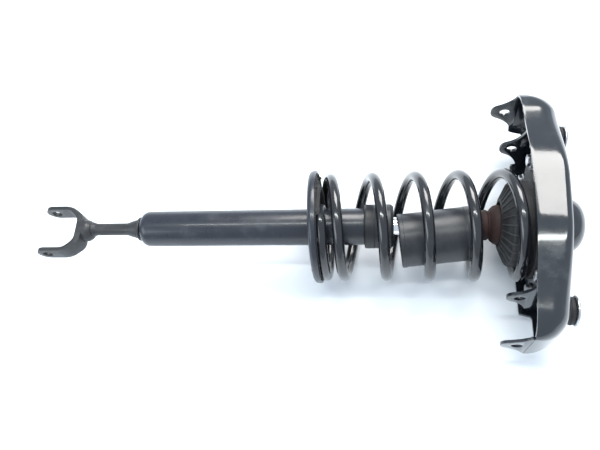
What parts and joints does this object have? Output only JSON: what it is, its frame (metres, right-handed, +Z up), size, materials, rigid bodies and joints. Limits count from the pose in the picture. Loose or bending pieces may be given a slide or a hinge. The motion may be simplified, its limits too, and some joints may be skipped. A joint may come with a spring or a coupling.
{
  "type": "suspension strut",
  "caption": "Coil spring strut: telescopic damper with a fork at its lower end, coil spring between two seats and a pressed bracket with arm ears and body bushes on top.",
  "frame": {"origin": "bottom centre of the whole assembly's box, lying on its side", "axes": "+X along the damper from the fork to the bracket's dome, +Y along the bracket's long side, +Z up, across the bracket's narrow side"},
  "size_m": [0.6918, 0.3148, 0.142],
  "materials": {
    "bracket_paint": "deep gloss black paint",
    "spring_paint": "gloss black powder coat",
    "tube_paint": "semi-gloss black paint",
    "fork_paint": "satin black paint",
    "black_plastic": "satin black moulded plastic",
    "rubber": "dull black rubber",
    "zinc_plate": "zinc plated steel",
    "hard_chrome": "polished hard chrome",
    "bare_steel": "drawn steel",
    "sintered_iron": "sintered iron, slightly porous",
    "band_plastic": "bronze-filled bearing plastic",
    "urethane": "red-brown foamed urethane, slightly dusty"
  },
  "bodies": {
    "top_mount": {"bracket_shell": "bracket_paint", "arm_ear_lower": "bracket_paint", "arm_ear_upper": "bracket_paint", "body_bush_lower": "rubber", "bush_washer_lower": "zinc_plate", "threaded_insert_lower": "zinc_plate", "body_bush_upper": "rubber", "bush_washer_upper": "zinc_plate", "threaded_insert_upper": "zinc_plate", "locating_pin": "zinc_plate", "dome_cap": "bracket_paint", "mount_bolt_1": "zinc_plate", "mount_bolt_2": "zinc_plate", "mount_bolt_3": "zinc_plate", "mount_bolt_4": "zinc_plate", "threaded_boss_1": "bracket_paint", "threaded_boss_2": "bracket_paint", "threaded_boss_3": "bracket_paint", "threaded_boss_4": "bracket_paint", "upper_insulator": "rubber", "upper_spring_plate": "tube_paint", "mount_housing": "tube_paint", "mount_rubber": "rubber", "mount_sleeve": "zinc_plate", "piston_rod": "hard_chrome", "piston": "sintered_iron", "piston_band": "band_plastic", "piston_nut": "zinc_plate", "rebound_stop": "rubber", "rod_nut": "zinc_plate", "rod_washer": "zinc_plate", "bump_stop": "urethane", "bump_stop_cup": "bare_steel"},
    "damper": {"damper_tube": "tube_paint", "inner_cylinder": "bare_steel", "base_valve": "sintered_iron", "rod_guide": "sintered_iron", "oil_seal": "rubber", "tube_cap": "black_plastic", "fork_yoke": "fork_paint", "fork_stem": "fork_paint", "stem_weld_collar": "fork_paint", "lower_spring_seat": "tube_paint", "lower_spring_pad": "rubber", "seat_weld_bead": "tube_paint", "coil_spring": "spring_paint"},
    "dust_sleeve": {"dust_tube": "black_plastic"}
  },
  "joints": [
    {"name": "damper_travel", "type": "slide", "parent": "top_mount", "child": "damper", "axis": [1, 0, 0], "range_m": [0, 0.098], "stiffness_N_per_m": 30000, "deforming": ["coil_spring"]},
    {"name": "dust_tube_swing", "type": "hinge", "parent": "top_mount", "child": "dust_sleeve", "pos_m": [0.30357, -0.00851, 0.071], "axis": [0, 0.4067, -0.9135], "range_deg": [0, 6.2], "deforming": ["dust_tube"]}
  ],
  "couplings": [
    {"joint": "dust_tube_swing", "follows": "damper_travel", "rad_per_m": 1.0864}
  ]
}
